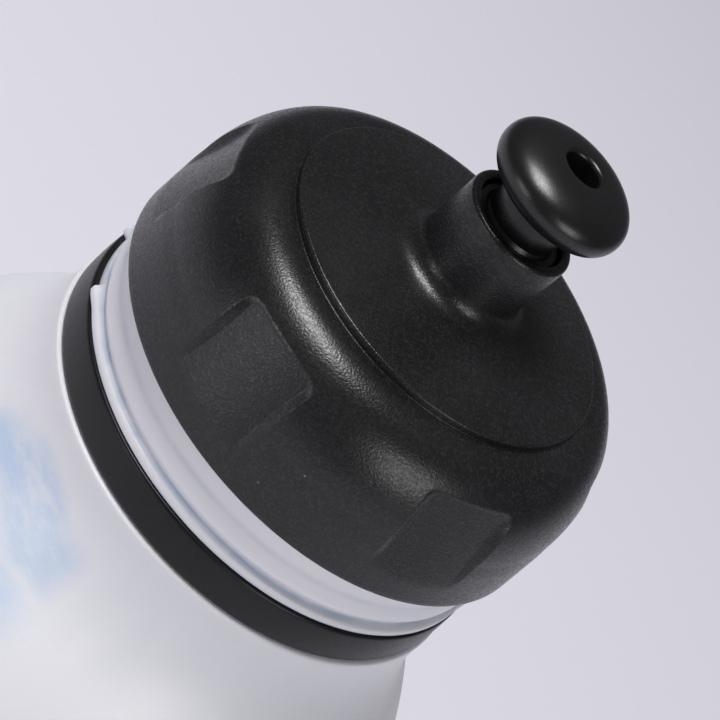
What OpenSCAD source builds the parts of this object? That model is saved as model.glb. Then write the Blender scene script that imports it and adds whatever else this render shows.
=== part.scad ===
// Squeeze water bottle with a screw cap and a push-pull mouthpiece.
// The base stands on z = 0 and the bottle's axis is Z.

/* [Bottle] */
// Outer diameter of the straight barrel
barrel_d = 74; // [61:0.5:89]
// Height of the cap skirt's lower edge above the base
skirt_z = 163; // [140:1:215]
// Wall thickness of the blown bottle
wall = 1.2; // [0.8:0.1:1.8]
// Radius of the heel where barrel and base meet
heel_r = 6; // [3:0.5:9]
// Height that the middle of the base is pushed up
push_up = 3.5; // [2:0.5:6]
// Width of the foot ring's flat
foot_w = 6.5; // [4:0.5:9]
// Distance of the carrier groove's centre below the shoulder
groove_drop = 15.9; // [10:0.1:60]
// Depth of the carrier groove
groove_depth = 2.4; // [1:0.1:4]
// Height of the carrier groove
groove_h = 13; // [8:0.5:18]
// Height of the shoulder, from barrel to ring seat
shoulder_h = 25; // [18:0.5:32]

/* [Neck] */
// Outer diameter of the threaded neck
neck_d = 44; // [36.5:0.5:53]
// Thickness of the neck's wall
neck_wall = 1.7; // [1.2:0.1:2.4]
// Height of the neck's lip above the skirt's lower edge
lip_h = 11; // [10.4:0.1:13]
// Step from the threaded neck out to the band's surface
band_step = 3.4; // [2.6:0.1:4]
// Height of the band above the skirt's lower edge
band_top = 2.4; // [1:0.1:2.8]
// Wall thickness of the band
band_wall = 2; // [1.5:0.1:2.4]
// Depth of the flange's lower edge below the skirt's lower edge
flange_drop = 7.3; // [5:0.1:10]
// Reach of the flange beyond the band
flange_reach = 0.5; // [0.3:0.1:0.9]
// Thickness of the flange
flange_t = 0.9; // [0.6:0.1:1.6]
// Angle of the flange that is trimmed away at the parting line
flange_trim_angle = 24; // [10:1:40]
// Turn of the middle of the trimmed stretch
flange_trim_turn = 196; // [0:1:360]

/* [Thread] */
// Rise of the thread in one turn
thread_pitch = 3.6; // [3.4:0.1:4.2]
// Depth of the thread
thread_depth = 1.2; // [0.8:0.1:1.4]
// Turned angle of each thread
thread_angle = 440; // [300:10:450]
// Radial gap between thread crest and facing wall
thread_gap = 0.4; // [0.3:0.05:0.6]

/* [Ring] */
// Height of the shoulder ring
ring_h = 4.6; // [3:0.1:7]
// Radial thickness of the shoulder ring
ring_t = 1.25; // [1:0.05:2]
// Gap between the ring and its seat
ring_gap = 0.1; // [0.05:0.05:0.2]
// Depth of the ring's bore inside the band's surface
ring_inset = 0.5; // [0.3:0.1:0.8]
// Reach of the shoulder's lip beyond the ring
collar_reach = 0.35; // [0.2:0.05:0.8]

/* [Cap] */
// Thickness of the skirt at its lower edge
skirt_t = 0.95; // [0.7:0.05:1.6]
// Radial gap between the skirt and the band
skirt_gap = 0.45; // [0.3:0.05:0.7]
// Height from the skirt's edge to the rim of the raised disc
cap_h = 17.8; // [17:0.1:21.4]
// Diameter of the raised disc
disc_d = 38.4; // [30:0.2:40]
// Height of the step around the raised disc
disc_step = 0.9; // [0.4:0.1:1.5]
// Rise of the disc from its rim to the spout
disc_rise = 1.5; // [0.5:0.1:3]
// Thickness of the cap's top
cap_top_t = 1.9; // [1.4:0.1:2.4]
// Number of grip recesses
grip_count = 6; // [4:1:8]
// Turn of the first grip recess
grip_turn = -104.3; // [-180:0.1:180]
// Width of a grip recess
grip_w = 11.2; // [8:0.2:13]
// Lean of a grip recess's floor towards the axis, over its height
grip_lean = 2.3; // [1.9:0.1:2.6]
// Radius of a grip recess's upper corners
grip_corner_r = 1.8; // [1:0.1:2.6]
// Height of a grip recess's lower end above the skirt's edge
grip_z0 = 3; // [2:0.1:5]
// Distance of a grip recess's upper end below the disc's rim
grip_drop = 3.4; // [3.2:0.1:5]

/* [Gasket] */
// Thickness of the gasket
gasket_t = 1.5; // [1:0.1:2]
// Radial width of the gasket
gasket_w = 3.6; // [3:0.1:4.4]
// Radial gap between the gasket and the cap
gasket_gap = 0.4; // [0.2:0.05:0.6]

/* [Spout] */
// Diameter of the spout's bore
spout_bore_d = 10.6; // [8.8:0.1:12.8]
// Wall thickness of the spout
spout_wall = 1.1; // [0.9:0.1:2.4]
// Height of the spout's rim above the disc's rim
spout_h = 10.7; // [9.5:0.1:14]
// Radius of the fillet at the spout's foot
spout_fillet = 2.2; // [1.2:0.1:3]
// Radial gap between the mouthpiece and the spout's bore
slide_gap = 0.1; // [0.05:0.01:0.15]
// Stroke of the mouthpiece between open and closed
stroke = 3.6; // [2.5:0.1:4.4]
// Gap left at each end of the stroke
stop_gap = 0.2; // [0.1:0.05:0.3]
// Radial reach of the stem's catch flange
catch_reach = 0.7; // [0.4:0.1:0.8]
// Thickness of the stem's catch flange
catch_t = 1.4; // [1:0.1:1.8]
// Radial gap around the catch flange
well_gap = 0.2; // [0.1:0.05:0.4]
// Thickness of the spout's floor above the catch flange
well_top_t = 0.7; // [0.5:0.1:1]

/* [Valve core] */
// Diameter of the valve post
post_d = 3.4; // [2.4:0.1:3.6]
// Thickness of the core's spider plate
spider_t = 1.8; // [1.2:0.1:2.4]
// Width of the core's seat in the cap
spider_seat = 1.2; // [0.8:0.1:1.6]
// Wall thickness of the boss around the core
boss_t = 1; // [0.8:0.1:1.6]
// Number of flow windows in the spider plate
window_count = 3; // [3:1:5]
// Diameter of a flow window
window_d = 3.2; // [2:0.1:3.4]
// Distance between the post and a flow window
window_gap = 0.7; // [0.4:0.1:1]
// Length of the plug
plug_len = 1.5; // [1:0.1:2]
// Radial gap between the plug tip and the drinking hole
plug_gap = 0.05; // [0.03:0.01:0.1]

/* [Mouthpiece] */
// Largest diameter of the mouthpiece's head
head_d = 15.8; // [13:0.1:20]
// Height of the head from underside to crown
head_h = 5; // [4.6:0.1:7]
// Diameter of the drinking hole
hole_d = 4.3; // [3.6:0.1:4.8]
// Length of the drinking hole
hole_len = 2.4; // [1.8:0.1:2.6]
// Diameter of the mouthpiece's neck
mouth_neck_d = 8.2; // [8:0.1:9]
// Depth of the stem's shoulder below the spout's rim when open
stem_drop = 0.6; // [0.2:0.1:1.2]
// Diameter of the stem's flow passage
passage_d = 5.2; // [4.8:0.1:5.4]
// Thickness of the stem's spigot
spigot_t = 0.7; // [0.6:0.05:0.8]
// Reach of the spigot's barb
barb_reach = 0.8; // [0.4:0.1:0.9]
// Length of the spigot's barb
barb_len = 1.1; // [0.8:0.1:1.3]
// Section diameter of the stem's seal ring
seal_t = 1; // [0.8:0.05:1.1]
// Radial gap between the seal ring and the bore
seal_gap = 0.03; // [0.02:0.01:0.06]

/* [Hidden] */

$fn = 96;
sink = 0.4;
barrel_r = barrel_d / 2;
foot_in = barrel_r - heel_r - foot_w;
neck_r = neck_d / 2;
neck_in = neck_r - neck_wall;
band_r = neck_r + band_step;
flange_r = band_r + flange_reach;
skirt_in = band_r + skirt_gap;
cap_r = skirt_in + skirt_t;
disc_r = disc_d / 2;

// Heights above the base
lip_z = skirt_z + lip_h;
flange_z = skirt_z - flange_drop;
ring_z1 = flange_z - ring_gap;
ring_z0 = ring_z1 - ring_h;
seat_z = ring_z0 - ring_gap;
shoulder_z = seat_z - shoulder_h;
groove_z = shoulder_z - groove_drop;
ring_in = band_r - ring_inset;
ring_out = ring_in + ring_t;
seat_r = ring_in - ring_gap;
collar_r = ring_out + collar_reach;

// Screw thread
thread_root_w = 2;
thread_crest_w = 1;
crest_r = neck_r + thread_depth;
cap_in = crest_r + thread_gap;
cap_crest = cap_in - thread_depth;
thread_top = 1.5;
thread_z = lip_z - thread_top - thread_pitch * thread_angle / 360;
thread_step = 15;
thread_turn = 6.3;

// Cap heights above the base
gasket_z1 = lip_z + gasket_t;
gasket_out = cap_in - gasket_gap;
gasket_in = gasket_out - gasket_w;
disc_z = skirt_z + cap_h;
disc_top = disc_z + disc_rise;
bore_r = spout_bore_d / 2;
spout_r = bore_r + spout_wall;
grip_z1 = cap_h - grip_drop;
top_in = disc_z - disc_step - cap_top_t;
rim_z = disc_z + spout_h;
catch_r = bore_r + catch_reach;
well_r = catch_r + well_gap;
well_z1 = disc_top - well_top_t;
catch_z1 = well_z1 - stop_gap;
catch_z0 = catch_z1 - catch_t;
spider_room = 0.2;
spider_z1 = catch_z0 - stroke - stop_gap - spider_room;
spider_z0 = spider_z1 - spider_t;
spider_r = well_r + spider_seat;
boss_r = spider_r + boss_t;

// Mouthpiece heights in the open position
head_z0 = rim_z + stroke + stop_gap;
head_z1 = head_z0 + head_h;
stem_r = bore_r - slide_gap;
step_z = rim_z - stem_drop;
hole_r = hole_d / 2;
neck2_r = mouth_neck_d / 2;
passage_r = passage_d / 2;
spigot_r = passage_r + spigot_t;
hole_z0 = head_z1 - hole_len;
spigot_z1 = hole_z0 - 0.7;
barb_r = spigot_r + barb_reach;
barb_z0 = spigot_z1 - barb_len;
plug_r = hole_r - plug_gap;
plug_z1 = head_z1 - stroke - 0.3;
plug_z0 = plug_z1 - plug_len;
seal_c = bore_r - seal_gap - seal_t / 2;
seal_z = (catch_z1 + step_z) / 2 - 0.6;
stem_in = seal_c - seal_t / 2 - 0.65;

function arc(cx, cz, r, a0, a1, n) =
    [for (i = [0:n]) [cx + r * cos(a0 + (a1 - a0) * i / n), cz + r * sin(a0 + (a1 - a0) * i / n)]];
function back(p) = [for (i = [len(p) - 1:-1:0]) p[i]];
function unit(v) = v / norm(v);
// A path moved sideways by d, to its left as it runs
function inset(p, d) =
    [for (i = [0:len(p) - 1])
        let (a = p[max(i - 1, 0)], b = p[min(i + 1, len(p) - 1)], t = unit(b - a))
        [p[i][0] - d * t[1], p[i][1] + d * t[0]]];

// Outer line of the bottle from the centre of the base to the ring seat
function base_line() =
    [for (i = [0:6]) let (u = i / 6) [foot_in * u, push_up * (1 - pow(u, 3))]];
function heel_line() = arc(barrel_r - heel_r, heel_r, heel_r, -90, 0, 8);
function groove_line() =
    [for (i = [0:12]) let (u = i / 12)
        [barrel_r - groove_depth * (1 - cos(360 * u)) / 2, groove_z - groove_h / 2 + groove_h * u]];
function shoulder_line() =
    [for (i = [0:14]) let (u = i / 14)
        [barrel_r - (barrel_r - collar_r) * shoulder_curve(u), shoulder_z + (shoulder_h - 0.8) * u]];
// The shoulder turns in quickly over the barrel and then rises to the ring
function shoulder_curve(u) = u < 0.5 ? 0.62 * pow(u / 0.5, 1.5) : 1 - 0.38 * pow((1 - u) / 0.5, 2.2);
function body_line() = concat(base_line(), heel_line(), groove_line(), shoulder_line());

module turned(p) {
    rotate_extrude($fn = 128) polygon(p);
}

// A helical ridge on the radius r, reaching out (side 1) or in (side -1), in short turned steps
module thread_ridge(r, side, z, a0) {
    n = round(thread_angle / thread_step);
    slope = (thread_root_w - thread_crest_w) / 2 / thread_depth;
    for (i = [0:n - 1]) {
        f = min(1, (i + 0.5) * 0.4, (n - i - 0.5) * 0.4);
        root = thread_root_w / 2 + sink * slope;
        crest = thread_crest_w / 2 + slope * thread_depth * (1 - f);
        translate([0, 0, z + thread_pitch * (a0 + (i + 0.5) * thread_step) / 360])
            rotate([0, 0, a0 + i * thread_step])
                rotate_extrude(angle = thread_step + 0.4, $fn = 96) polygon([
                    [r - side * sink, -root], [r + side * thread_depth * f, -crest],
                    [r + side * thread_depth * f, crest], [r - side * sink, root]
                ]);
    }
}

module bottle_body() {
    low = body_line();
    seat = [
        [collar_r, seat_z - 0.8], [collar_r, seat_z - 0.25], [collar_r - 0.25, seat_z], [seat_r, seat_z],
        [seat_r, flange_z], [flange_r - 0.2, flange_z], [flange_r, flange_z + 0.2],
        [flange_r, flange_z + flange_t - 0.2], [band_r + 0.15, flange_z + flange_t + 0.2],
        [band_r, flange_z + flange_t + 0.8], [band_r, skirt_z + band_top - 0.5],
        [band_r - 0.5, skirt_z + band_top], [neck_r + 0.6, skirt_z + band_top],
        [neck_r, skirt_z + band_top + 0.5],
        [neck_r, lip_z - 0.4], [neck_r - 0.4, lip_z], [neck_in + 0.3, lip_z], [neck_in, lip_z - 0.3]
    ];
    inner_neck = [
        [neck_in, skirt_z + band_top + 0.6], [band_r - band_wall, skirt_z + band_top - band_wall],
        [band_r - band_wall, flange_z + 0.6], [seat_r - wall, flange_z - 0.8], [seat_r - wall, seat_z + 0.4]
    ];
    color([0.82, 0.83, 0.86]) difference() {
        union() {
            turned(concat(low, seat, inner_neck, back(inset(low, wall))));
            thread_ridge(neck_r, 1, thread_z, thread_turn);
        }
        // The flange is trimmed flush on both sides of the mould's parting line
        for (s = [0, 180]) rotate([0, 0, flange_trim_turn + s]) rotate([0, 0, -flange_trim_angle / 2])
            rotate_extrude(angle = flange_trim_angle, $fn = 96)
                translate([band_r, flange_z - 0.1]) square([flange_reach + 0.5, flange_t + 1]);
    }
}

module neck_ring() {
    e = 0.35;
    color([0.05, 0.05, 0.055]) turned(concat(
        [[ring_in, ring_z0], [ring_out - e, ring_z0]],
        arc(ring_out - e, ring_z0 + e, e, -60, 0, 3),
        arc(ring_out - e, ring_z1 - e, e, 0, 60, 3),
        [[ring_out - e, ring_z1], [ring_in, ring_z1]]
    ));
}

module cap_gasket() {
    color([0.86, 0.86, 0.84]) translate([0, 0, lip_z]) difference() {
        cylinder(r = gasket_out, h = gasket_t);
        translate([0, 0, -1]) cylinder(r = gasket_in, h = gasket_t + 2);
    }
}

// Outer line of the cap from the skirt's edge to the foot of the raised disc
function cap_side() =
    let (z = skirt_z, r = cap_r, d = disc_r + 0.35)
    concat(
        [[r - 0.2, z], [r, z + 0.2], [r - 0.15, z + 5.5]],
        [for (i = [0:10]) let (a = 90 * i / 10)
            [d + (r - 0.3 - d) * pow(cos(a), 0.86), z + 7.2 + (cap_h - disc_step - 7.2) * pow(sin(a), 1.12)]]
    );

// One recess: a conical floor that leans in until it runs out in the shoulder, with round upper corners
module grip_cut() {
    h = grip_z1 - grip_z0;
    r = cap_r;
    half = grip_w / 2;
    e = grip_corner_r;
    spread = 2 * asin(half / (r - grip_lean)) + 4;
    intersection() {
        rotate([0, 0, -spread / 2]) rotate_extrude(angle = spread, $fn = 96)
            polygon([[r - 0.05, grip_z0], [r - 0.05 - grip_lean, grip_z1], [r + 2, grip_z1], [r + 2, grip_z0]]);
        rotate([90, 0, 90]) linear_extrude(height = r + 3) union() {
            translate([-half, grip_z0 - 1]) square([grip_w, h + 1 - e]);
            translate([e - half, grip_z0 - 1]) square([grip_w - 2 * e, h + 1]);
            for (s = [-1, 1]) translate([s * (half - e), grip_z1 - e]) circle(r = e, $fn = 48);
        }
    }
}

module cap_shell() {
    in_z = skirt_z + band_top + 1;
    outer = concat(
        cap_side(),
        [[disc_r, disc_z - disc_step], [disc_r, disc_z - 0.25], [disc_r - 0.25, disc_z],
         [spout_r + spout_fillet + 0.3, disc_top]],
        arc(spout_r + spout_fillet, disc_top + spout_fillet, spout_fillet, 262, 180, 7),
        arc(spout_r - 0.5, rim_z - 0.5, 0.5, 0, 90, 4),
        arc(bore_r + 0.3, rim_z - 0.3, 0.3, 90, 180, 3)
    );
    inner = [
        [bore_r, well_z1], [well_r, well_z1], [well_r, spider_z1], [spider_r, spider_z1],
        [spider_r, spider_z0], [boss_r, spider_z0], [boss_r, top_in + 1.2],
        [boss_r + 0.6, top_in + 1.6], [disc_r - 3, top_in + 0.6], [gasket_in + 0.4, gasket_z1],
        [cap_in, gasket_z1], [cap_in, in_z + 0.8], [skirt_in, in_z], [skirt_in, skirt_z]
    ];
    color([0.07, 0.07, 0.075]) union() {
        difference() {
            turned(concat(outer, inner));
            for (i = [0:grip_count - 1]) rotate([0, 0, grip_turn + 360 * i / grip_count])
                translate([0, 0, skirt_z]) grip_cut();
        }
        thread_ridge(cap_in, -1, thread_z - thread_pitch / 2, 180 + thread_turn);
    }
}

module spout_core() {
    color([0.1, 0.1, 0.105]) difference() {
        turned([
            [0, spider_z0], [spider_r, spider_z0], [spider_r, spider_z1], [post_d / 2 + 1, spider_z1],
            [post_d / 2, spider_z1 + 2], [post_d / 2, plug_z0 - 0.5], [plug_r, plug_z0],
            [plug_r, plug_z1 - 0.4], [plug_r - 0.4, plug_z1], [0, plug_z1]
        ]);
        for (i = [0:window_count - 1]) rotate([0, 0, 360 * i / window_count])
            translate([post_d / 2 + window_gap + window_d / 2, 0, spider_z0 - 1])
                cylinder(d = window_d, h = spider_t + 3, $fn = 48);
    }
}

module mouthpiece_stem() {
    groove = seal_c - seal_t / 2 - 0.02;
    gw = seal_t / 2 + 0.05;
    color([0.09, 0.09, 0.095]) turned([
        [stem_in, catch_z0], [catch_r - 0.3, catch_z0], [catch_r, catch_z0 + 0.5], [catch_r, catch_z1],
        [stem_r, catch_z1], [stem_r, seal_z - gw], [groove, seal_z - gw], [groove, seal_z + gw],
        [stem_r, seal_z + gw], [stem_r, step_z - 0.3], [stem_r - 0.3, step_z],
        [spigot_r, step_z], [spigot_r, barb_z0], [barb_r, barb_z0], [spigot_r + 0.1, spigot_z1],
        [passage_r, spigot_z1], [passage_r, step_z - 0.4], [stem_in, step_z - 1.8]
    ]);
}

module stem_seal() {
    color([0.2, 0.2, 0.21]) translate([0, 0, seal_z])
        rotate_extrude($fn = 96) translate([seal_c, 0]) circle(d = seal_t, $fn = 32);
}

module mouthpiece_head() {
    r = head_d / 2;
    h = head_h;
    edge = 0.38 * h;
    crown = h - edge;
    color([0.05, 0.05, 0.055]) turned(concat(
        [[spigot_r, step_z], [neck2_r + 0.25, step_z], [neck2_r, step_z + 0.4], [neck2_r, head_z0 - 0.9]],
        arc(neck2_r + 0.9, head_z0 - 0.9, 0.9, 180, 90, 4),
        [for (i = [1:5]) let (a = 90 * i / 5)
            [r - 1.7 + 1.7 * sin(a), head_z0 + edge - edge * cos(a)]],
        [for (i = [1:10]) let (a = 80 * i / 10)
            [hole_r + 0.3 + (r - hole_r - 0.3) * cos(a), head_z0 + edge + crown * pow(sin(a), 0.9)]],
        arc(hole_r + 0.5, head_z1 - 0.5, 0.5, 90, 180, 4),
        [[hole_r, hole_z0], [passage_r, hole_z0 - 0.5], [passage_r, spigot_z1],
         [spigot_r + 0.1, spigot_z1], [barb_r, barb_z0], [spigot_r, barb_z0]]
    ));
}

bottle_body();
neck_ring();
cap_gasket();
cap_shell();
spout_core();
mouthpiece_stem();
stem_seal();
mouthpiece_head();
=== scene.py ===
import bpy, bmesh, math
from mathutils import Matrix, Vector


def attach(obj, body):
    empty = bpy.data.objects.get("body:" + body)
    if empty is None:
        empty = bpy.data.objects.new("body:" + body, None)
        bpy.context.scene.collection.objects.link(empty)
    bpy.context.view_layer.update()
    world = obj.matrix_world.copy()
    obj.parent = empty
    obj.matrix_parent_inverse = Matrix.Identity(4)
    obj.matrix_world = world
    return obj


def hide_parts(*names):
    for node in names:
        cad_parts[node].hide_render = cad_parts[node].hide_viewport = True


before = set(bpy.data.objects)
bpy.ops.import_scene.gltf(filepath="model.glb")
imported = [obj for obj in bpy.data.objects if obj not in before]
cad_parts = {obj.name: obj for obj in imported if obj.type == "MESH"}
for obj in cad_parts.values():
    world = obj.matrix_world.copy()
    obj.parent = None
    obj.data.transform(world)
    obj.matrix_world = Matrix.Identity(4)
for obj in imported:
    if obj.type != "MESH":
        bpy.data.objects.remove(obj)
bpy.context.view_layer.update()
mm = 0.001
print("frame loaded")


# lines that get turned round the bottle's axis, in millimetres

def softLine(corners, steps=5):
    # each corner is (radius, height) or (radius, height, rounding)
    longestShare = 0.48  # of a straight, that one rounding may take
    line = []
    for i, corner in enumerate(corners):
        rounding = corner[2] if len(corner) > 2 else 0
        here = Vector(corner[:2])
        if rounding <= 0 or i in (0, len(corners) - 1):
            line.append(here)
            continue
        toBack = Vector(corners[i - 1][:2]) - here
        toNext = Vector(corners[i + 1][:2]) - here
        start = here + toBack.normalized() * min(rounding, toBack.length * longestShare)
        end = here + toNext.normalized() * min(rounding, toNext.length * longestShare)
        for k in range(steps + 1):
            along = k / steps
            line.append(start * (1 - along) ** 2 + here * 2 * along * (1 - along) + end * along ** 2)
    return [(p.x, p.y) for p in line]


def arcLine(centre, radius, startDeg, endDeg, steps):
    points = []
    for k in range(steps + 1):
        angle = math.radians(startDeg + (endDeg - startDeg) * k / steps)
        points.append((centre[0] + radius * math.cos(angle), centre[1] + radius * math.sin(angle)))
    return points


def crowdedLine(line, low, high, fine, coarse):
    # points close together between two heights, and further apart elsewhere
    crowded = [line[0]]
    for a, b in zip(line, line[1:]):
        step = fine if low < (a[1] + b[1]) / 2 < high else coarse
        n = max(1, round(math.dist(a, b) / step))
        crowded += [(a[0] + (b[0] - a[0]) * k / n, a[1] + (b[1] - a[1]) * k / n) for k in range(1, n + 1)]
    return crowded


def insetLine(line, distance):
    moved = []
    for i in range(len(line)):
        a, b = Vector(line[max(i - 1, 0)]), Vector(line[min(i + 1, len(line) - 1)])
        run = (b - a).normalized()
        moved.append((line[i][0] - distance * run.y, line[i][1] + distance * run.x))
    return moved


# node helpers

def plug(tree, socket, value):
    if isinstance(value, bpy.types.NodeSocket):
        tree.links.new(value, socket)
    else:
        socket.default_value = value


def mathStep(tree, kind, a, b=None, c=None):
    step = tree.nodes.new("ShaderNodeMath")
    step.operation = kind
    for socket, value in zip(step.inputs, (a, b, c)):
        if value is not None:
            plug(tree, socket, value)
    return step.outputs[0]


def plus(tree, a, b):
    return mathStep(tree, "ADD", a, b)


def minus(tree, a, b):
    return mathStep(tree, "SUBTRACT", a, b)


def times(tree, a, b):
    return mathStep(tree, "MULTIPLY", a, b)


def rampStep(tree, value, low, high, outLow=0.0, outHigh=1.0, kind="SMOOTHSTEP"):
    step = tree.nodes.new("ShaderNodeMapRange")
    step.interpolation_type = kind
    given = {"Value": value, "From Min": low, "From Max": high, "To Min": outLow, "To Max": outHigh}
    for name, amount in given.items():
        plug(tree, step.inputs[name], amount)
    return step.outputs["Result"]


def addInput(tree, name, kind, value=None):
    item = tree.interface.new_socket(name=name, in_out="INPUT", socket_type=kind)
    if value is not None:
        item.default_value = value


def paintedEnd(tree, mesh, given):
    # both trees end alike: made real, given their surface and handed out
    solid = tree.nodes.new("GeometryNodeRealizeInstances")
    tree.links.new(mesh, solid.inputs[0])
    paint = tree.nodes.new("GeometryNodeSetMaterial")
    tree.links.new(solid.outputs[0], paint.inputs["Geometry"])
    tree.links.new(given["Surface"], paint.inputs["Material"])
    tree.links.new(paint.outputs[0], tree.nodes.new("NodeGroupOutput").inputs[0])


# turning tree: a profile's points become a turned shell, with grips and a trimmed flange if asked

turningInputs = {
    "Grip Count": 0.0, "Grip Turn": 0.0, "Grip Width": 0.0112, "Grip Low": 0.0, "Grip High": 0.01,
    "Grip Round": 0.002, "Grip Wall": 0.001, "Grip Radius": 0.02, "Grip Lean": 0.002,
    "Grip From Radius": 0.02,
    "Trim Turn": 0.0, "Trim Half Angle": 0.0, "Trim Low": 0.0, "Trim High": 0.0, "Trim Radius": 1.0,
    "Trim Flick": 0.0}
gripBuild = {
    "nearSide": 0.78, "farSide": 1.16, "nearShare": 0.25, "farShare": 0.72,  # where the columns crowd
    "floorDrop": 0.00005, "floorCurve": 0.4, "softEdge": 0.00012, "fullness": 1.06, "softFloor": 0.2}
flickTurn = 0.12  # how far round, in radians, a flange's trimmed end bends out


def gripColumns(tree, given, evenTurn):
    # crowds the columns at the grips' sides, and tells each point's turn from its grip's middle
    gripped = mathStep(tree, "MINIMUM", given["Grip Count"], 1.0)
    sector = mathStep(tree, "DIVIDE", 2 * math.pi, mathStep(tree, "MAXIMUM", given["Grip Count"], 1.0))
    halfSector = times(tree, sector, 0.5)
    which = mathStep(tree, "FLOOR", plus(tree, mathStep(tree, "DIVIDE", evenTurn, sector), 0.5))
    gripMiddle = times(tree, which, sector)
    evenLocal = minus(tree, evenTurn, gripMiddle)
    share = mathStep(tree, "DIVIDE", mathStep(tree, "ABSOLUTE", evenLocal), halfSector)
    sideTurn = mathStep(tree, "DIVIDE", times(tree, given["Grip Width"], 0.5), given["Grip Radius"])
    nearTurn = times(tree, sideTurn, gripBuild["nearSide"])
    farTurn = times(tree, sideTurn, gripBuild["farSide"])
    nearShare, farShare = gripBuild["nearShare"], gripBuild["farShare"]
    overFloor = rampStep(tree, share, 0.0, nearShare, 0.0, nearTurn, "LINEAR")
    overWall = rampStep(tree, share, nearShare, farShare, 0.0, minus(tree, farTurn, nearTurn), "LINEAR")
    between = rampStep(tree, share, farShare, 1.0, 0.0, minus(tree, halfSector, farTurn), "LINEAR")
    warped = plus(tree, plus(tree, overFloor, overWall), between)
    local = times(tree, mathStep(tree, "SIGN", evenLocal), warped)
    gripTurn = plus(tree, plus(tree, gripMiddle, local), given["Grip Turn"])
    turn = plus(tree, times(tree, gripTurn, gripped), times(tree, evenTurn, minus(tree, 1.0, gripped)))
    return turn, local


def grippedRadius(tree, given, radius, height, local):
    # a curved floor leans in towards the top, inside an outline with round upper corners
    rise = rampStep(tree, height, given["Grip Low"], given["Grip High"], kind="LINEAR")
    floorMiddle = minus(tree, minus(tree, given["Grip Radius"], gripBuild["floorDrop"]),
                        times(tree, rise, given["Grip Lean"]))
    curve = mathStep(tree, "COSINE", times(tree, local, gripBuild["floorCurve"]))
    floorRadius = mathStep(tree, "DIVIDE", floorMiddle, curve)
    setBack = mathStep(tree, "SMOOTH_MAX", minus(tree, radius, floorRadius), 0.0, gripBuild["softEdge"])
    side = mathStep(tree, "ABSOLUTE", times(tree, radius, mathStep(tree, "SINE", local)))
    overSide = minus(tree, side, minus(tree, times(tree, given["Grip Width"], 0.5), given["Grip Round"]))
    overTop = minus(tree, height, minus(tree, given["Grip High"], given["Grip Round"]))
    cornerSide = mathStep(tree, "MAXIMUM", overSide, 0.0)
    cornerTop = mathStep(tree, "MAXIMUM", overTop, 0.0)
    corner = mathStep(tree, "SQRT", plus(tree, times(tree, cornerSide, cornerSide),
                                         times(tree, cornerTop, cornerTop)))
    flat = mathStep(tree, "MINIMUM", mathStep(tree, "MAXIMUM", overSide, overTop), 0.0)
    edge = minus(tree, plus(tree, corner, flat), given["Grip Round"])
    inside = rampStep(tree, edge, 0.0, times(tree, given["Grip Wall"], -1.0), kind="LINEAR")
    inside = times(tree, inside, gripBuild["fullness"])
    inside = mathStep(tree, "SMOOTH_MIN", inside, 1.0, gripBuild["softFloor"])
    outer = times(tree, mathStep(tree, "GREATER_THAN", radius, given["Grip From Radius"]),
                  mathStep(tree, "GREATER_THAN", height, given["Grip Low"]))
    gripped = mathStep(tree, "MINIMUM", given["Grip Count"], 1.0)
    return minus(tree, radius, times(tree, times(tree, setBack, inside), times(tree, gripped, outer)))


def trimmedRadius(tree, given, turn, height, radius):
    # a stretch of the flange is cut off, twice round, and its ends bend out a little
    fromTrim = plus(tree, minus(tree, turn, given["Trim Turn"]), math.pi / 2)
    away = minus(tree, mathStep(tree, "FLOORED_MODULO", fromTrim, math.pi), math.pi / 2)
    away = mathStep(tree, "ABSOLUTE", away)
    inTrim = mathStep(tree, "LESS_THAN", away, given["Trim Half Angle"])
    near = rampStep(tree, away, plus(tree, given["Trim Half Angle"], flickTurn), given["Trim Half Angle"])
    inBand = times(tree, mathStep(tree, "GREATER_THAN", height, given["Trim Low"]),
                   mathStep(tree, "LESS_THAN", height, given["Trim High"]))
    inBand = times(tree, inBand, mathStep(tree, "GREATER_THAN", radius, given["Trim Radius"]))
    cut = times(tree, minus(tree, radius, given["Trim Radius"]), times(tree, inBand, inTrim))
    flick = times(tree, times(tree, near, given["Trim Flick"]),
                  times(tree, inBand, minus(tree, 1.0, inTrim)))
    return plus(tree, minus(tree, radius, cut), flick)


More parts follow.
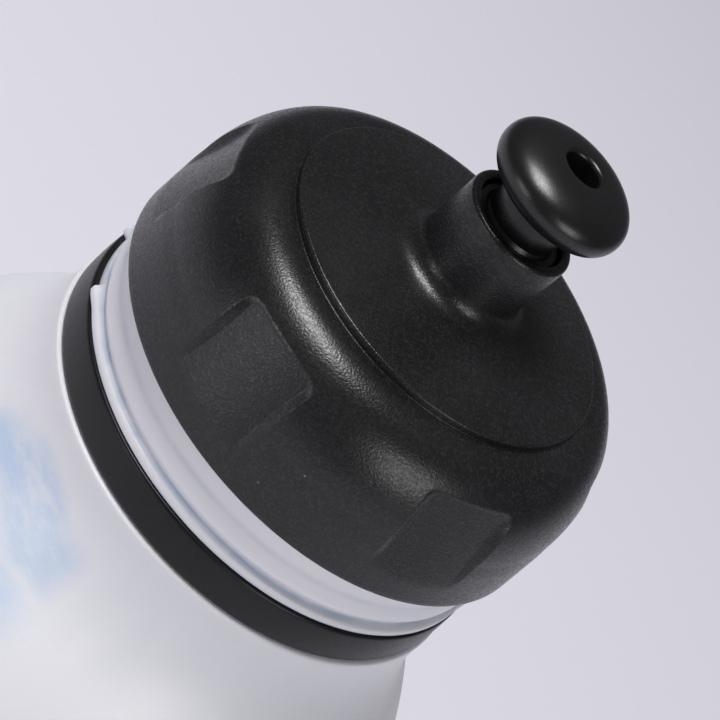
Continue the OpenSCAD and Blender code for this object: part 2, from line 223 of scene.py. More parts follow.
def turningTree():
    tree = bpy.data.node_groups.new("turnProfile", "GeometryNodeTree")
    addInput(tree, "Profile", "NodeSocketGeometry")
    addInput(tree, "Segments", "NodeSocketInt", 192)
    for name, value in turningInputs.items():
        addInput(tree, name, "NodeSocketFloat", value)
    addInput(tree, "Surface", "NodeSocketMaterial")
    tree.interface.new_socket(name="Piece", in_out="OUTPUT", socket_type="NodeSocketGeometry")
    new = tree.nodes.new
    given = new("NodeGroupInput").outputs

    # a grid with a column for each segment and a row for each point of the profile
    size = new("GeometryNodeAttributeDomainSize")
    tree.links.new(given["Profile"], size.inputs[0])
    rows = size.outputs["Point Count"]
    grid = new("GeometryNodeMeshGrid")
    plug(tree, grid.inputs["Size X"], 1.0)
    plug(tree, grid.inputs["Size Y"], 1.0)
    plug(tree, grid.inputs["Vertices X"], plus(tree, given["Segments"], 1))
    plug(tree, grid.inputs["Vertices Y"], rows)
    index = new("GeometryNodeInputIndex").outputs[0]
    column = mathStep(tree, "FLOOR", mathStep(tree, "DIVIDE", plus(tree, index, 0.5), rows))
    row = minus(tree, index, times(tree, column, rows))
    sample = new("GeometryNodeSampleIndex")
    sample.data_type = "FLOAT_VECTOR"
    tree.links.new(given["Profile"], sample.inputs["Geometry"])
    tree.links.new(new("GeometryNodeInputPosition").outputs[0], sample.inputs["Value"])
    tree.links.new(row, sample.inputs["Index"])
    parts = new("ShaderNodeSeparateXYZ")
    tree.links.new(sample.outputs[0], parts.inputs[0])
    radius, height = parts.outputs["X"], parts.outputs["Z"]

    evenTurn = times(tree, mathStep(tree, "DIVIDE", column, given["Segments"]), 2 * math.pi)
    turn, local = gripColumns(tree, given, evenTurn)
    radius = grippedRadius(tree, given, radius, height, local)
    radius = trimmedRadius(tree, given, turn, height, radius)
    place = new("ShaderNodeCombineXYZ")
    tree.links.new(times(tree, radius, mathStep(tree, "COSINE", turn)), place.inputs["X"])
    tree.links.new(times(tree, radius, mathStep(tree, "SINE", turn)), place.inputs["Y"])
    tree.links.new(height, place.inputs["Z"])
    shape = new("GeometryNodeSetPosition")
    tree.links.new(grid.outputs["Mesh"], shape.inputs["Geometry"])
    tree.links.new(place.outputs[0], shape.inputs["Position"])
    merge = new("GeometryNodeMergeByDistance")
    merge.inputs["Distance"].default_value = 1e-6
    tree.links.new(shape.outputs[0], merge.inputs["Geometry"])
    paintedEnd(tree, merge.outputs[0], given)
    return tree


# thread tree: a ridge swept along a rising spiral, thinner at both ends

ridgeEnds = {"share": 0.09, "thin": 0.25, "resolution": 90}


def threadTree():
    tree = bpy.data.node_groups.new("threadRidge", "GeometryNodeTree")
    addInput(tree, "Section", "NodeSocketGeometry")
    for name, value in (("Turns", 1.2), ("Radius", 0.022), ("Rise", 0.0044)):
        addInput(tree, name, "NodeSocketFloat", value)
    addInput(tree, "Surface", "NodeSocketMaterial")
    tree.interface.new_socket(name="Piece", in_out="OUTPUT", socket_type="NodeSocketGeometry")
    new = tree.nodes.new
    given = new("NodeGroupInput").outputs
    spiral = new("GeometryNodeCurveSpiral")
    spiral.inputs["Resolution"].default_value = ridgeEnds["resolution"]
    tree.links.new(given["Turns"], spiral.inputs["Rotations"])
    tree.links.new(given["Radius"], spiral.inputs["Start Radius"])
    tree.links.new(given["Radius"], spiral.inputs["End Radius"])
    tree.links.new(given["Rise"], spiral.inputs["Height"])
    along = new("GeometryNodeSplineParameter").outputs["Factor"]
    fadeIn = rampStep(tree, along, 0.0, ridgeEnds["share"], ridgeEnds["thin"], 1.0)
    fadeOut = rampStep(tree, along, 1 - ridgeEnds["share"], 1.0, 1.0, ridgeEnds["thin"])
    upright = new("GeometryNodeSetCurveNormal")
    upright.mode = "Z_UP"
    tree.links.new(spiral.outputs[0], upright.inputs[0])
    sweep = new("GeometryNodeCurveToMesh")
    tree.links.new(upright.outputs[0], sweep.inputs["Curve"])
    section = new("GeometryNodeMeshToCurve")
    tree.links.new(given["Section"], section.inputs[0])
    tree.links.new(section.outputs[0], sweep.inputs["Profile Curve"])
    sweep.inputs["Fill Caps"].default_value = True
    if "Scale" in sweep.inputs:
        tree.links.new(times(tree, fadeIn, fadeOut), sweep.inputs["Scale"])
    paintedEnd(tree, sweep.outputs[0], given)
    return tree


def meshFromNodes(name, source, tree, settings, sharpDeg=32):
    # runs a tree on a source mesh and keeps the result as a plain mesh object
    holder = bpy.data.objects.new(name + "Source", source)
    bpy.context.scene.collection.objects.link(holder)
    modifier = holder.modifiers.new("make", "NODES")
    modifier.node_group = tree
    for item in tree.interface.items_tree:
        if item.name in settings:
            modifier[item.identifier] = settings[item.name]
    graph = bpy.context.evaluated_depsgraph_get()
    made = bpy.data.meshes.new_from_object(holder.evaluated_get(graph))
    bpy.data.objects.remove(holder)
    cleaner = bmesh.new()
    cleaner.from_mesh(made)
    bmesh.ops.remove_doubles(cleaner, verts=cleaner.verts, dist=2e-7)
    bmesh.ops.dissolve_degenerate(cleaner, edges=cleaner.edges, dist=1e-7)
    bmesh.ops.recalc_face_normals(cleaner, faces=cleaner.faces)
    for edge in cleaner.edges:
        edge.smooth = len(edge.link_faces) == 2 and edge.calc_face_angle(0) < math.radians(sharpDeg)
    for face in cleaner.faces:
        face.smooth = True
    cleaner.to_mesh(made)
    cleaner.free()
    made.name = name
    piece = bpy.data.objects.new(name, made)
    bpy.context.scene.collection.objects.link(piece)
    return piece


def profileMesh(line):
    mesh = bpy.data.meshes.new("profile")
    mesh.from_pydata([(r * mm, 0, z * mm) for r, z in line], [(i, i + 1) for i in range(len(line) - 1)], [])
    return mesh


def turnedPiece(name, line, surface, body, node, slot, segments, **settings):
    settings = {"Segments": segments, "Surface": surface, **settings}
    piece = meshFromNodes(name, profileMesh(line), turning, settings)
    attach(piece, body)
    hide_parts(node)
    print(name, "turned,", len(piece.data.polygons), "faces")


turning = turningTree()
threading = threadTree()


# surfaces

def newSurface(name):
    surface = bpy.data.materials.new(name)
    surface.use_nodes = True
    tree = surface.node_tree
    shader = tree.nodes["Principled BSDF"]
    where = tree.nodes.new("ShaderNodeTexCoord").outputs["Object"]
    return surface, tree, shader, where


def noiseStep(tree, where, scale, detail=2.0, rough=0.5):
    step = tree.nodes.new("ShaderNodeTexNoise")
    plug(tree, step.inputs["Vector"], where)
    step.inputs["Scale"].default_value = scale
    step.inputs["Detail"].default_value = detail
    step.inputs["Roughness"].default_value = rough
    return step.outputs["Fac"]


def cellStep(tree, where, scale):
    # small cells: the distance from each one's middle, and a chance value for each
    cells = tree.nodes.new("ShaderNodeTexVoronoi")
    plug(tree, cells.inputs["Vector"], where)
    cells.inputs["Scale"].default_value = scale
    pick = tree.nodes.new("ShaderNodeSeparateColor")
    tree.links.new(cells.outputs["Color"], pick.inputs[0])
    return cells.outputs["Distance"], pick.outputs[0]


def stretched(tree, where, scale):
    mapping = tree.nodes.new("ShaderNodeMapping")
    mapping.inputs["Scale"].default_value = scale
    tree.links.new(where, mapping.inputs["Vector"])
    return mapping.outputs[0]


def splitStep(tree, where):
    parts = tree.nodes.new("ShaderNodeSeparateXYZ")
    tree.links.new(where, parts.inputs[0])
    return parts.outputs


def mixColour(tree, factor, a, b):
    step = tree.nodes.new("ShaderNodeMix")
    step.data_type = "RGBA"
    plug(tree, step.inputs[0], factor)
    plug(tree, step.inputs[6], a)
    plug(tree, step.inputs[7], b)
    return step.outputs[2]


def bumpStep(tree, height, strength, distance, before=None):
    step = tree.nodes.new("ShaderNodeBump")
    step.inputs["Strength"].default_value = strength
    step.inputs["Distance"].default_value = distance
    plug(tree, step.inputs["Height"], height)
    if before is not None:
        tree.links.new(before, step.inputs["Normal"])
    return step.outputs["Normal"]


plasticDetail = {
    "sparkScale": 5200, "cloudScale": 90, "rippleScale": 130, "rippleStrength": 0.02, "rippleDepth": 0.0003,
    "dustScale": 420, "dustSpot": (0.035, 0.06), "dustRough": 0.3,
    "paintedGlintColour": (0.10, 0.10, 0.105, 1), "dustColour": (0.16, 0.16, 0.17, 1)}


def blackPlastic(name, look):
    detail = plasticDetail
    surface, tree, shader, where = newSurface(name)
    grain = noiseStep(tree, where, look["grainScale"], 1.0)
    spark = cellStep(tree, where, detail["sparkScale"])[1]
    cloud = noiseStep(tree, where, detail["cloudScale"], 3.0)
    dustAway, dustChance = cellStep(tree, where, detail["dustScale"])
    dust = times(tree, rampStep(tree, dustAway, *detail["dustSpot"], 1.0, 0.0),
                 mathStep(tree, "GREATER_THAN", dustChance, 1 - look["dust"]))
    base = mixColour(tree, rampStep(tree, cloud, 0.3, 0.7), (*look["dark"], 1), (*look["light"], 1))
    # painted glints: the spark cells add light grey specks to the colour, standing in for the grain's sparkle
    # in the light
    paintedGlint = times(tree, rampStep(tree, spark, 0.55, 1.0), look["paintedGlint"])
    colour = mixColour(tree, paintedGlint, base, detail["paintedGlintColour"])
    tree.links.new(mixColour(tree, dust, colour, detail["dustColour"]), shader.inputs["Base Color"])
    rough = plus(tree, rampStep(tree, cloud, 0.3, 0.7, *look["rough"], "LINEAR"),
                 rampStep(tree, spark, 0.0, 1.0, look["glint"], -look["glint"], "LINEAR"))
    tree.links.new(plus(tree, rough, times(tree, dust, detail["dustRough"])), shader.inputs["Roughness"])
    ripple = bumpStep(tree, noiseStep(tree, where, detail["rippleScale"], 1.0),
                      detail["rippleStrength"], detail["rippleDepth"])
    tree.links.new(bumpStep(tree, grain, look["grainStrength"], look["grainDepth"], ripple),
                   shader.inputs["Normal"])
    shader.inputs["Specular IOR Level"].default_value = look["specular"]
    return surface


frostDetail = {
    "cloudScale": 28, "flowStretch": (1, 1, 0.12), "flowScale": 260, "flowShare": 0.18, "fineScale": 2600,
    "ragged": 0.0004, "scatter": (1.0, 0.98, 1.0), "scatterDepth": 0.004,
    "rippleStrength": 0.12, "rippleDepth": 0.0004, "fineStrength": 0.15, "fineDepth": 0.00006}


def frostedPlastic(name, look, withPrintAndPaintedShade):
    detail = frostDetail
    surface, tree, shader, where = newSurface(name)
    cloud = noiseStep(tree, where, detail["cloudScale"], 3.0)
    flow = noiseStep(tree, stretched(tree, where, detail["flowStretch"]), detail["flowScale"], 3.0)
    fine = noiseStep(tree, where, detail["fineScale"])
    colour = mixColour(tree, rampStep(tree, cloud, 0.3, 0.7), (*look["cool"], 1), (*look["warm"], 1))
    milky = rampStep(tree, flow, 0.45, 0.75, 0.0, detail["flowShare"])
    colour = mixColour(tree, milky, colour, (*look["milk"], 1))
    if withPrintAndPaintedShade:
        # painted shade and reflection lines round the band, then the print
        colour = paintedBandShade(tree, where, look, colour, cloud, flow)
        colour = mixColour(tree, printedStrokes(tree, where, look), colour, (*look["ink"], 1))
    tree.links.new(colour, shader.inputs["Base Color"])
    tree.links.new(rampStep(tree, flow, 0.3, 0.7, *look["rough"], "LINEAR"), shader.inputs["Roughness"])
    shader.inputs["Subsurface Weight"].default_value = look["milkiness"]
    shader.inputs["Subsurface Radius"].default_value = detail["scatter"]
    shader.inputs["Subsurface Scale"].default_value = detail["scatterDepth"]
    ripple = bumpStep(tree, flow, detail["rippleStrength"], detail["rippleDepth"])
    tree.links.new(bumpStep(tree, fine, detail["fineStrength"], detail["fineDepth"], ripple),
                   shader.inputs["Normal"])
    return surface


def paintedBandShade(tree, where, look, colour, cloud, flow):
    # painted shade and reflection: bluish lines round the band, where its wall is seen edge on
    ragged = plus(tree, splitStep(tree, where)["Z"],
                  rampStep(tree, cloud, 0.0, 1.0, -frostDetail["ragged"], frostDetail["ragged"], "LINEAR"))
    for line in look["paintedShadeLines"]:
        away = mathStep(tree, "ABSOLUTE", minus(tree, ragged, line["height"]))
        shade = times(tree, rampStep(tree, away, line["width"], 0.0),
                      rampStep(tree, flow, 0.35, 0.65, line["strength"] * 0.4, line["strength"]))
        colour = mixColour(tree, shade, colour, (*look["depth"], 1))
    return colour


strokeDetail = {"bristleStretch": (1, 1, 2.6), "bristleScale": 120, "wobbleScale": 55, "wobble": 0.006}


def printedStrokes(tree, where, look):
    # soft blue brush strokes that wander round the bottle, broken up like dry bristles
    detail = strokeDetail
    parts = splitStep(tree, where)
    turn = mathStep(tree, "ARCTAN2", parts["Y"], parts["X"])
    dry = noiseStep(tree, stretched(tree, where, detail["bristleStretch"]), detail["bristleScale"], 4.0, 0.7)
    wobble = rampStep(tree, noiseStep(tree, where, detail["wobbleScale"]), 0.0, 1.0,
                      -detail["wobble"], detail["wobble"], "LINEAR")
    total = None
    for stroke in look["strokes"]:
        phase = minus(tree, turn, stroke["turn"])
        bow = times(tree, mathStep(tree, "COSINE", times(tree, phase, stroke["bends"])), stroke["bow"])
        centre = plus(tree, plus(tree, stroke["height"], bow), wobble)
        off = mathStep(tree, "ABSOLUTE", minus(tree, parts["Z"], centre))
        body = rampStep(tree, off, stroke["width"], stroke["width"] * 0.25)
        ends = rampStep(tree, mathStep(tree, "COSINE", phase), math.cos(stroke["reach"]),
                        math.cos(stroke["reach"] * 0.55))
        mark = times(tree, times(tree, body, ends), rampStep(tree, dry, 0.22, 0.66, 0.22, stroke["strength"]))
        total = mark if total is None else mathStep(tree, "MAXIMUM", total, mark)
    return total


capBlack = blackPlastic("capBlack", {
    "dark": (0.006, 0.006, 0.0066), "light": (0.009, 0.009, 0.0098), "rough": (0.28, 0.33), "paintedGlint": 0.14,
    "glint": 0.1, "specular": 0.42, "grainScale": 4300, "grainStrength": 0.5, "grainDepth": 0.00006,
    "dust": 0.03})
mouthBlack = blackPlastic("mouthBlack", {
    "dark": (0.005, 0.005, 0.0056), "light": (0.007, 0.007, 0.0077), "rough": (0.27, 0.33), "paintedGlint": 0.03,
    "glint": 0.03, "specular": 0.5, "grainScale": 5200, "grainStrength": 0.12, "grainDepth": 0.00004,
    "dust": 0.03})
ringBlack = blackPlastic("ringBlack", {
    "dark": (0.006, 0.006, 0.0066), "light": (0.009, 0.009, 0.0097), "rough": (0.32, 0.40), "paintedGlint": 0.03,
    "glint": 0.04, "specular": 0.28, "grainScale": 4200, "grainStrength": 0.18, "grainDepth": 0.00005,
    "dust": 0.10})
innerBlack = blackPlastic("innerBlack", {
    "dark": (0.006, 0.006, 0.0066), "light": (0.009, 0.009, 0.0097), "rough": (0.38, 0.46), "paintedGlint": 0.05,
    "glint": 0.05, "specular": 0.5, "grainScale": 3000, "grainStrength": 0.15, "grainDepth": 0.00005,
    "dust": 0.02})
bottleMilk = frostedPlastic("bottleMilk", {
    "cool": (0.76, 0.765, 0.82), "warm": (0.80, 0.785, 0.82), "milk": (0.85, 0.845, 0.87),
    # depth is the colour of the painted shade and reflection lines round the band
    "ink": (0.42, 0.56, 0.78), "depth": (0.40, 0.49, 0.64), "rough": (0.30, 0.42), "milkiness": 0.3,
    "paintedShadeLines": [
        {"height": 0.1558, "width": 0.0003, "strength": 0.7},
        {"height": 0.1569, "width": 0.0004, "strength": 0.8},
        {"height": 0.1600, "width": 0.0006, "strength": 0.3},
        {"height": 0.1630, "width": 0.0009, "strength": 0.5}],
    "strokes": [
        {"turn": -2.02, "height": 0.1405, "bow": 0.0022, "bends": 3,
         "width": 0.0048, "reach": 0.42, "strength": 0.8},
        {"turn": -2.30, "height": 0.1330, "bow": 0.004, "bends": 2,
         "width": 0.005, "reach": 0.75, "strength": 0.8},
        {"turn": -2.45, "height": 0.090, "bow": 0.012, "bends": 3,
         "width": 0.009, "reach": 0.8, "strength": 0.75},
        {"turn": 0.75, "height": 0.070, "bow": -0.005, "bends": 4,
         "width": 0.010, "reach": 0.9, "strength": 0.7},
        {"turn": 0.95, "height": 0.132, "bow": 0.004, "bends": 3,
         "width": 0.005, "reach": 0.5, "strength": 0.7},
        {"turn": 2.6, "height": 0.050, "bow": 0.009, "bends": 3,
         "width": 0.007, "reach": 0.7, "strength": 0.6}]},
    True)
gasketWhite = frostedPlastic("gasketWhite", {
    "cool": (0.62, 0.62, 0.60), "warm": (0.68, 0.68, 0.65), "milk": (0.72, 0.72, 0.70),
    "rough": (0.5, 0.6), "milkiness": 0.1}, False)
print("surfaces ready")


# bottle and its shoulder ring

bottle = {
    "barrel": 37.0, "skirtZ": 163.0, "wall": 1.2, "heel": 6.0, "pushUp": 3.5, "pushUpOut": 24.5,
    "grooveZ": 110.0, "grooveDepth": 2.4, "grooveHeight": 13.0, "shoulderHeight": 25.0, "shoulderLip": 0.8,
    "neck": 22.0, "neckWall": 1.7, "lip": 11.0, "band": 25.4, "bandTop": 2.4, "bandWall": 2.0,
    "flangeDrop": 7.3, "flangeReach": 0.5, "flangeThick": 0.9,
    "trimTurn": 196, "trimHalf": 12, "trimFlick": 0.4}
ring = {"height": 4.6, "thick": 1.25, "gap": 0.1, "inset": 0.5, "bulge": 0.05, "collar": 0.35}

band = bottle["band"]
skirtZ = bottle["skirtZ"]
lipZ = skirtZ + bottle["lip"]
bandTopZ = skirtZ + bottle["bandTop"]
flangeZ = skirtZ - bottle["flangeDrop"]
flangeTop = flangeZ + bottle["flangeThick"]
flangeOut = band + bottle["flangeReach"]
ringTop = flangeZ - ring["gap"]
ringLow = ringTop - ring["height"]
ringIn = band - ring["inset"]
ringOut = ringIn + ring["thick"]
seatZ = ringLow - ring["gap"]
seatR = ringIn - ring["gap"]
shoulderZ = seatZ - bottle["shoulderHeight"]
collarR = ringOut + ring["collar"]


def shoulderShare(u):
    return 0.62 * (u / 0.5) ** 1.5 if u < 0.5 else 1 - 0.38 * ((1 - u) / 0.5) ** 2.2


def groovePoint(u):
    dip = bottle["grooveDepth"] * (1 - math.cos(2 * math.pi * u)) / 2
    return bottle["barrel"] - dip, bottle["grooveZ"] + bottle["grooveHeight"] * (u - 0.5)


def shoulderPoint(u):
    inwards = (bottle["barrel"] - collarR) * shoulderShare(u)
    return bottle["barrel"] - inwards, shoulderZ + (bottle["shoulderHeight"] - bottle["shoulderLip"]) * u


outside = [(bottle["pushUpOut"] * k / 10, bottle["pushUp"] * (1 - (k / 10) ** 3)) for k in range(11)]
outside += arcLine((bottle["barrel"] - bottle["heel"], bottle["heel"]), bottle["heel"], -90, 0, 12)
outside += [(bottle["barrel"], z) for z in (30, 60, 90)]
outside += [groovePoint(k / 24) for k in range(25)]
outside.append((bottle["barrel"], 120))
outside += [shoulderPoint(k / 30) for k in range(31)]
neckSide = softLine([
    (collarR, seatZ - 0.8), (collarR, seatZ, 0.35), (seatR, seatZ, 0.15), (seatR, flangeZ, 0.2),
    (flangeOut, flangeZ, 0.25), (flangeOut, flangeTop, 0.3),
    (band - 0.3, flangeTop + 0.3, 0.25), (band - 0.3, flangeTop + 0.65, 0.2),
    (band + 0.12, flangeTop + 1.2, 0.6), (band + 0.1, flangeTop + 2.3, 0.8),
    (band - 0.1, flangeZ + 4.6, 0.8), (band - 0.05, skirtZ - 1.5, 1.0), (band, bandTopZ, 0.6),
    (bottle["neck"], bandTopZ, 0.5), (bottle["neck"], lipZ, 0.5),
    (bottle["neck"] - bottle["neckWall"], lipZ, 0.5),
    (bottle["neck"] - bottle["neckWall"], bandTopZ + 0.6, 0.4),
    (band - bottle["bandWall"], bandTopZ - 2, 0.6), (band - bottle["bandWall"], flangeZ + 0.6, 0.5),
    (seatR - bottle["wall"], flangeZ - 0.8, 0.4), (seatR - bottle["wall"], seatZ + 0.4)])
inside = insetLine(outside, bottle["wall"])
inside = [(0.0, inside[0][1])] + inside[1:]
inside.reverse()
turnedPiece(
    "bottleShell", outside + neckSide + inside, bottleMilk, "bottle", "bottle_body", "bottle_plastic", 256,
    **{"Trim Turn": math.radians(bottle["trimTurn"]), "Trim Half Angle": math.radians(bottle["trimHalf"]),
       "Trim Low": (flangeZ - 0.1) * mm, "Trim High": (flangeZ + 1.45) * mm, "Trim Radius": band * mm,
       "Trim Flick": bottle["trimFlick"] * mm})

ringLine = softLine([
    (ringIn, ringLow), (ringOut, ringLow, 0.5), (ringOut + ring["bulge"], (ringLow + ringTop) / 2, 1.5),
    (ringOut - 0.1, ringTop, 0.5), (ringIn, ringTop), (ringIn, ringLow)], 6)
turnedPiece("shoulderRing", ringLine, ringBlack, "bottle", "neck_ring", "ring_black", 256)


# cap

cap = {
    "skirt": 26.8, "height": 17.8, "disc": 19.2, "discStep": 0.9, "discRise": 1.5, "top": 1.9,
    "hem": 0.25, "straight": 5.5, "crownLow": 7.2, "crownSide": 0.86, "crownTop": 1.12,
    "spout": 6.4, "bore": 5.3, "spoutHeight": 10.7, "fillet": 2.2, "rimOut": 0.5, "rimIn": 0.35, "well": 6.2,
    "bandGap": 0.45, "neckGap": 1.6, "gripCount": 6, "gripTurn": -104.3, "gripWidth": 11.4, "gripLean": 2.3,
    "gripLow": 3.0, "gripHigh": 14.4, "gripRound": 1.8, "gripWall": 0.85, "segments": 576}
valve = {"wellTop": 0.7, "catchGap": 0.2, "catchThick": 1.4, "stroke": 3.6, "coreGap": 0.4, "corePlate": 1.8}

discZ = skirtZ + cap["height"]
discLow = discZ - cap["discStep"]
discTop = discZ + cap["discRise"]
rimZ = discZ + cap["spoutHeight"]
wellTopZ = discTop - valve["wellTop"]
catchTop = wellTopZ - valve["catchGap"]
catchLow = catchTop - valve["catchThick"]
coreHigh = catchLow - valve["stroke"] - valve["coreGap"]
coreLow = coreHigh - valve["corePlate"]
footR = cap["disc"] + 0.35
hemR = cap["skirt"] - cap["hem"]
bandIn = band + cap["bandGap"]
bandInZ = bandTopZ + 1
capIn = bottle["neck"] + cap["neckGap"]
topIn = discLow - cap["top"]


def crownPoint(k, steps):
    angle = math.pi / 2 * k / steps
    reach = math.cos(angle) ** cap["crownSide"] if k < steps else 0.0
    rise = math.sin(angle) ** cap["crownTop"]
    return (footR + (cap["skirt"] - 0.3 - footR) * reach,
            skirtZ + cap["crownLow"] + (cap["height"] - cap["discStep"] - cap["crownLow"]) * rise)


side = [(hemR, skirtZ)]
side += arcLine((hemR, skirtZ + cap["hem"]), cap["hem"], -90, 0, 3)[1:]
side.append((cap["skirt"] - 0.15, skirtZ + cap["straight"]))
side += [crownPoint(k, 70) for k in range(71)]
side = crowdedLine(side[:-1], skirtZ + 11.2, skirtZ + 14.4, 0.13, 0.4) + [side[-1]]
disc = softLine([
    (footR, discLow), (cap["disc"], discLow, 0.12), (cap["disc"], discZ, 0.22),
    (cap["spout"] + cap["fillet"] + 0.3, discTop)], 4)[1:]
spoutSide = arcLine((cap["spout"] + cap["fillet"], discTop + cap["fillet"]), cap["fillet"], 262, 180, 9)
spoutSide.append((cap["spout"], discTop + 5))
spoutRim = arcLine((cap["spout"] - cap["rimOut"], rimZ - cap["rimOut"]), cap["rimOut"], 0, 90, 5)
spoutRim += arcLine((cap["bore"] + cap["rimIn"], rimZ - cap["rimIn"]), cap["rimIn"], 90, 180, 4)
well = cap["well"]
underside = [
    (cap["bore"], wellTopZ), (well, wellTopZ), (well, coreHigh), (well + 1.2, coreHigh),
    (well + 1.2, coreLow), (well + 2.2, coreLow), (well + 2.2, topIn + 1.2),
    (well + 2.8, topIn + 1.6), (cap["disc"] - 3, topIn + 0.6),
    (20.0, lipZ + 1.5), (capIn, lipZ + 1.5), (capIn, bandInZ + 0.8), (bandIn, bandInZ), (bandIn, skirtZ),
    (hemR, skirtZ)]
turnedPiece(
    "capShell", side + disc + spoutSide + spoutRim + underside, capBlack, "cap", "cap_shell", "cap_black",
    cap["segments"],
    **{"Grip Count": float(cap["gripCount"]), "Grip Turn": math.radians(cap["gripTurn"]),
       "Grip Width": cap["gripWidth"] * mm, "Grip Low": (skirtZ + cap["gripLow"]) * mm,
       "Grip High": (skirtZ + cap["gripHigh"]) * mm, "Grip Round": cap["gripRound"] * mm,
       "Grip Wall": cap["gripWall"] * mm, "Grip Radius": cap["skirt"] * mm, "Grip Lean": cap["gripLean"] * mm,
       "Grip From Radius": (capIn + 0.6) * mm})


# gasket

gasket = {"outer": 23.2, "inner": 19.6, "thick": 1.5, "soft": 0.2}
gasketTop = lipZ + gasket["thick"]
gasketLine = softLine([
    (gasket["inner"], lipZ), (gasket["outer"], lipZ, gasket["soft"]),
    (gasket["outer"], gasketTop, gasket["soft"]), (gasket["inner"], gasketTop), (gasket["inner"], lipZ)], 3)
turnedPiece("lipGasket", gasketLine, gasketWhite, "cap_seal", "cap_gasket", "gasket_white", 160)


# mouthpiece: its head, its stem and the stem's seal

mouth = {
    "head": 7.9, "headHeight": 5.0, "headEdge": 1.7, "headGap": 0.2, "crown": 0.38, "crownTop": 0.9,
    "hole": 2.15, "holeRound": 0.5, "neck": 4.1, "neckRound": 0.9, "passage": 2.6,
    "spigot": 3.3, "spigotDrop": 3.1, "barb": 0.8, "barbDrop": 1.1, "stem": 5.2, "drop": 0.6, "catch": 6.0}
seal = {"cord": 0.5, "gap": 0.03, "grooveHalf": 0.55, "grooveFloor": 0.52, "stemWall": 0.65}
headLow = rimZ + valve["stroke"] + mouth["headGap"]
headTop = headLow + mouth["headHeight"]
stepZ = rimZ - mouth["drop"]
spigotTop = headTop - mouth["spigotDrop"]
barbZ = spigotTop - mouth["barbDrop"]
crownZ = headLow + mouth["crown"] * mouth["headHeight"]
neckTop = headLow - mouth["neckRound"]
barbR = mouth["spigot"] + mouth["barb"]


def headEdgePoint(k):
    angle, edge = math.pi / 2 * k / 10, mouth["headEdge"]
    return mouth["head"] - edge + edge * math.sin(angle), crownZ - (crownZ - headLow) * math.cos(angle)


def headCrownPoint(k):
    angle = math.radians(80) * k / 18
    holeR = mouth["hole"] + 0.3
    return (holeR + (mouth["head"] - holeR) * math.cos(angle),
            crownZ + (headTop - crownZ) * math.sin(angle) ** mouth["crownTop"])


headLine = [(mouth["spigot"], stepZ), (mouth["neck"] + 0.25, stepZ), (mouth["neck"], stepZ + 0.4),
            (mouth["neck"], neckTop)]
headLine += arcLine((mouth["neck"] + mouth["neckRound"], neckTop), mouth["neckRound"], 180, 90, 6)
headLine += [headEdgePoint(k) for k in range(1, 11)]
headLine += [headCrownPoint(k) for k in range(1, 19)]
headLine += arcLine((mouth["hole"] + mouth["holeRound"], headTop - mouth["holeRound"]),
                    mouth["holeRound"], 90, 180, 6)
headLine += [(mouth["hole"], headTop - 2.4), (mouth["passage"], headTop - 2.9), (mouth["passage"], spigotTop),
             (mouth["spigot"] + 0.1, spigotTop), (barbR, barbZ), (mouth["spigot"], barbZ),
             (mouth["spigot"], stepZ)]
turnedPiece("mouthHead", headLine, mouthBlack, "mouthpiece", "mouthpiece_head", "mouth_black", 192)

sealR = cap["bore"] - seal["cord"] - seal["gap"]
sealZ = (catchTop + stepZ) / 2 - 0.6
grooveLow, grooveHigh = sealZ - seal["grooveHalf"], sealZ + seal["grooveHalf"]
grooveR = sealR - seal["grooveFloor"]
stemIn = sealR - seal["cord"] - seal["stemWall"]
stem, catch = mouth["stem"], mouth["catch"]
stemLine = [
    (stemIn, catchLow), (catch - 0.3, catchLow), (catch, catchLow + 0.5), (catch, catchTop),
    (stem, catchTop), (stem, grooveLow), (grooveR, grooveLow), (grooveR, grooveHigh), (stem, grooveHigh),
    (stem, stepZ - 0.3), (stem - 0.15, stepZ - 0.08), (stem - 0.4, stepZ), (mouth["spigot"], stepZ),
    (mouth["spigot"], barbZ), (barbR, barbZ), (mouth["spigot"] + 0.1, spigotTop),
    (mouth["passage"], spigotTop), (mouth["passage"], stepZ - 0.4), (stemIn, stepZ - 1.8), (stemIn, catchLow)]
turnedPiece("mouthStem", stemLine, innerBlack, "mouthpiece", "mouthpiece_stem", "stem_black", 128)
sealLine = arcLine((sealR, sealZ), seal["cord"], 0, 360, 24)
turnedPiece("stemSealRing", sealLine, innerBlack, "mouthpiece", "stem_seal", "seal_rubber", 96)

core = bpy.data.objects["spout_core"]  # the valve core keeps its own shape
core.data.materials.clear()
core.data.materials.append(innerBlack)


# screw thread ridges

thread = {
    "pitch": 3.6, "angle": 440, "depth": 1.2, "sink": 0.3, "root": 2.0, "crest": 1.0, "start": 6.3,
    "underLip": 1.5}
threadRise = thread["pitch"] * thread["angle"] / 360
threadZ = lipZ - thread["underLip"] - threadRise + thread["pitch"] * thread["start"] / 360


def threadPiece(name, body, surface, radius, direction, startDeg):
    depth, sink = thread["depth"] * mm * direction, thread["sink"] * mm * direction
    root, crest = thread["root"] * mm / 2, thread["crest"] * mm / 2
    section = bpy.data.meshes.new("threadSection")
    section.from_pydata([(-sink, -root, 0), (depth, -crest, 0), (depth, crest, 0), (-sink, root, 0)],
                        [(0, 1), (1, 2), (2, 3), (3, 0)], [])
    ridge = meshFromNodes(name, section, threading, {
        "Turns": thread["angle"] / 360, "Radius": radius * mm, "Rise": threadRise * mm, "Surface": surface})
    toPlace = Matrix.Translation((0, 0, threadZ * mm)) @ Matrix.Rotation(math.radians(startDeg), 4, "Z")
    ridge.data.transform(toPlace)
    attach(ridge, body)
    print(name, "swept,", len(ridge.data.polygons), "faces")


threadPiece("neckThread", "bottle", bottleMilk, bottle["neck"], 1, thread["start"])
threadPiece("capThread", "cap", capBlack, capIn, -1, thread["start"] + 180)


# floor

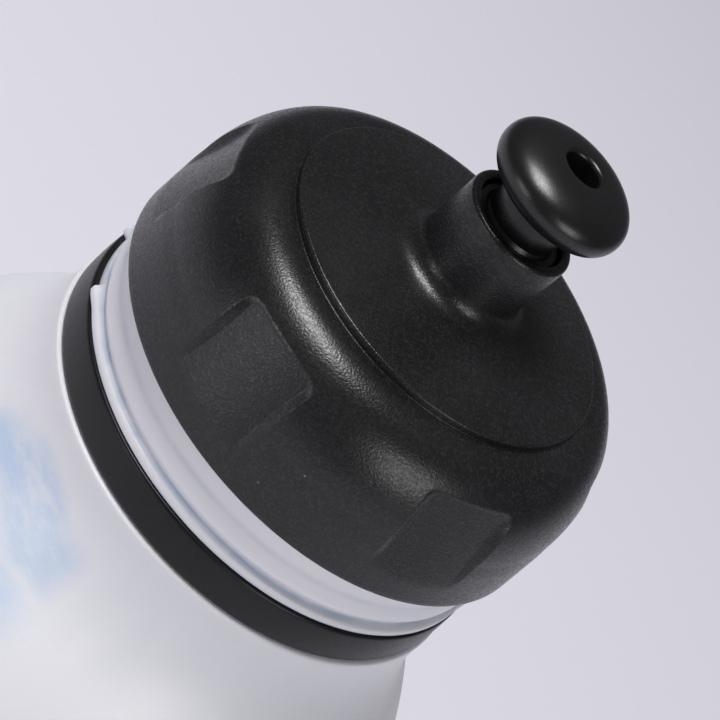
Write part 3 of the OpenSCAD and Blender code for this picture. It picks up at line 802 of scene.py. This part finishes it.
floorLook = {
    "colour": (0.80, 0.785, 0.87), "far": (0.66, 0.65, 0.73), "farFrom": 0.5, "farAt": 1.5, "size": 8.0,
    "uneven": 0.97, "rough": 0.9, "specular": 0.1}
floorMesh = bpy.data.meshes.new("floor")
half = floorLook["size"] / 2
floorCorners = [(-half, -half, 0), (half, -half, 0), (half, half, 0), (-half, half, 0)]
floorMesh.from_pydata(floorCorners, [], [(0, 1, 2, 3)])
floor = bpy.data.objects.new("floor", floorMesh)
bpy.context.scene.collection.objects.link(floor)
floorPaint, floorTree, floorShader, floorWhere = newSurface("floorPaint")
tone = mixColour(floorTree, noiseStep(floorTree, floorWhere, 3.0), (*floorLook["colour"], 1),
                 tuple(v * floorLook["uneven"] for v in floorLook["colour"]) + (1,))
floorTree.links.new(tone, floorShader.inputs["Base Color"])
floorShader.inputs["Roughness"].default_value = floorLook["rough"]
floorShader.inputs["Specular IOR Level"].default_value = floorLook["specular"]
floorMesh.materials.append(floorPaint)


def forCameraOnly(tree, share, usual, seen, output):
    # mixes in the plain backdrop that only the camera sees
    mix = tree.nodes.new("ShaderNodeMixShader")
    plug(tree, mix.inputs[0], share)
    tree.links.new(usual, mix.inputs[1])
    tree.links.new(seen, mix.inputs[2])
    tree.links.new(mix.outputs[0], tree.nodes[output].inputs["Surface"])


# far from the bottle the floor turns into the backdrop
farGlow = floorTree.nodes.new("ShaderNodeEmission")
farGlow.inputs["Color"].default_value = (*floorLook["far"], 1)
reach = floorTree.nodes.new("ShaderNodeVectorMath")
reach.operation = "LENGTH"
floorTree.links.new(floorWhere, reach.inputs[0])
farShare = rampStep(floorTree, reach.outputs["Value"], floorLook["farFrom"], floorLook["farAt"])
farShare = times(floorTree, farShare,
                 floorTree.nodes.new("ShaderNodeLightPath").outputs["Is Camera Ray"])
forCameraOnly(floorTree, farShare, floorShader.outputs[0], farGlow.outputs[0], "Material Output")
print("floor ready")


# lamps and sky

lightSetup = {
    "sky": (0.90, 0.90, 0.95), "skyStrength": 0.10,
    "lamps": [
        {"name": "topBox", "place": (-0.36, -0.12, 1.40), "size": (0.62, 0.5), "power": 17.2},
        {"name": "lowBox", "place": (-0.52, -0.78, 0.19), "size": (0.4, 0.28), "power": 1.1},
        {"name": "fillBox", "place": (0.75, -0.60, 0.50), "size": (0.5, 0.5), "power": 3.0}]}
aimPoint = Vector((0, 0, (skirtZ + 10) * mm))
for lamp in lightSetup["lamps"]:
    data = bpy.data.lights.new(lamp["name"], "AREA")
    data.shape, (data.size, data.size_y) = "RECTANGLE", lamp["size"]
    data.energy = lamp["power"]
    light = bpy.data.objects.new(lamp["name"], data)
    light.location = lamp["place"]
    light.rotation_euler = (aimPoint - light.location).to_track_quat("-Z", "Y").to_euler()
    bpy.context.scene.collection.objects.link(light)
world = bpy.data.worlds.new("softSky")
bpy.context.scene.world = world
world.use_nodes = True
skyTree = world.node_tree
sky = skyTree.nodes["Background"]
sky.inputs["Color"].default_value = (*lightSetup["sky"], 1)
sky.inputs["Strength"].default_value = lightSetup["skyStrength"]
backdrop = skyTree.nodes.new("ShaderNodeBackground")
backdrop.inputs["Color"].default_value = (*floorLook["far"], 1)
forCameraOnly(skyTree, skyTree.nodes.new("ShaderNodeLightPath").outputs["Is Camera Ray"],
              sky.outputs[0], backdrop.outputs[0], "World Output")
bpy.context.scene.view_settings.view_transform = "Standard"


# camera

cameraSetup = {
    "place": (0.0, -0.25761, 0.33090), "heading": -0.0006, "lookDown": 0.56748, "roll": 0.85977, "lens": 150,
    "sensor": 36, "near": 0.01, "far": 20}
heading, lookDown, roll = cameraSetup["heading"], cameraSetup["lookDown"], cameraSetup["roll"]
forward = Vector((math.sin(heading) * math.cos(lookDown), math.cos(heading) * math.cos(lookDown),
                  -math.sin(lookDown)))
level = forward.cross(Vector((0, 0, 1))).normalized()
above = level.cross(forward)
right = level * math.cos(roll) + above * math.sin(roll)
up = above * math.cos(roll) - level * math.sin(roll)
cameraData = bpy.data.cameras.new("studioCamera")
cameraData.lens, cameraData.sensor_width = cameraSetup["lens"], cameraSetup["sensor"]
cameraData.clip_start, cameraData.clip_end = cameraSetup["near"], cameraSetup["far"]
camera = bpy.data.objects.new("studioCamera", cameraData)
turnMatrix = Matrix((right, up, -forward)).transposed().to_4x4()
camera.matrix_world = Matrix.Translation(cameraSetup["place"]) @ turnMatrix
bpy.context.scene.collection.objects.link(camera)
bpy.context.scene.camera = camera

print("scene ready")
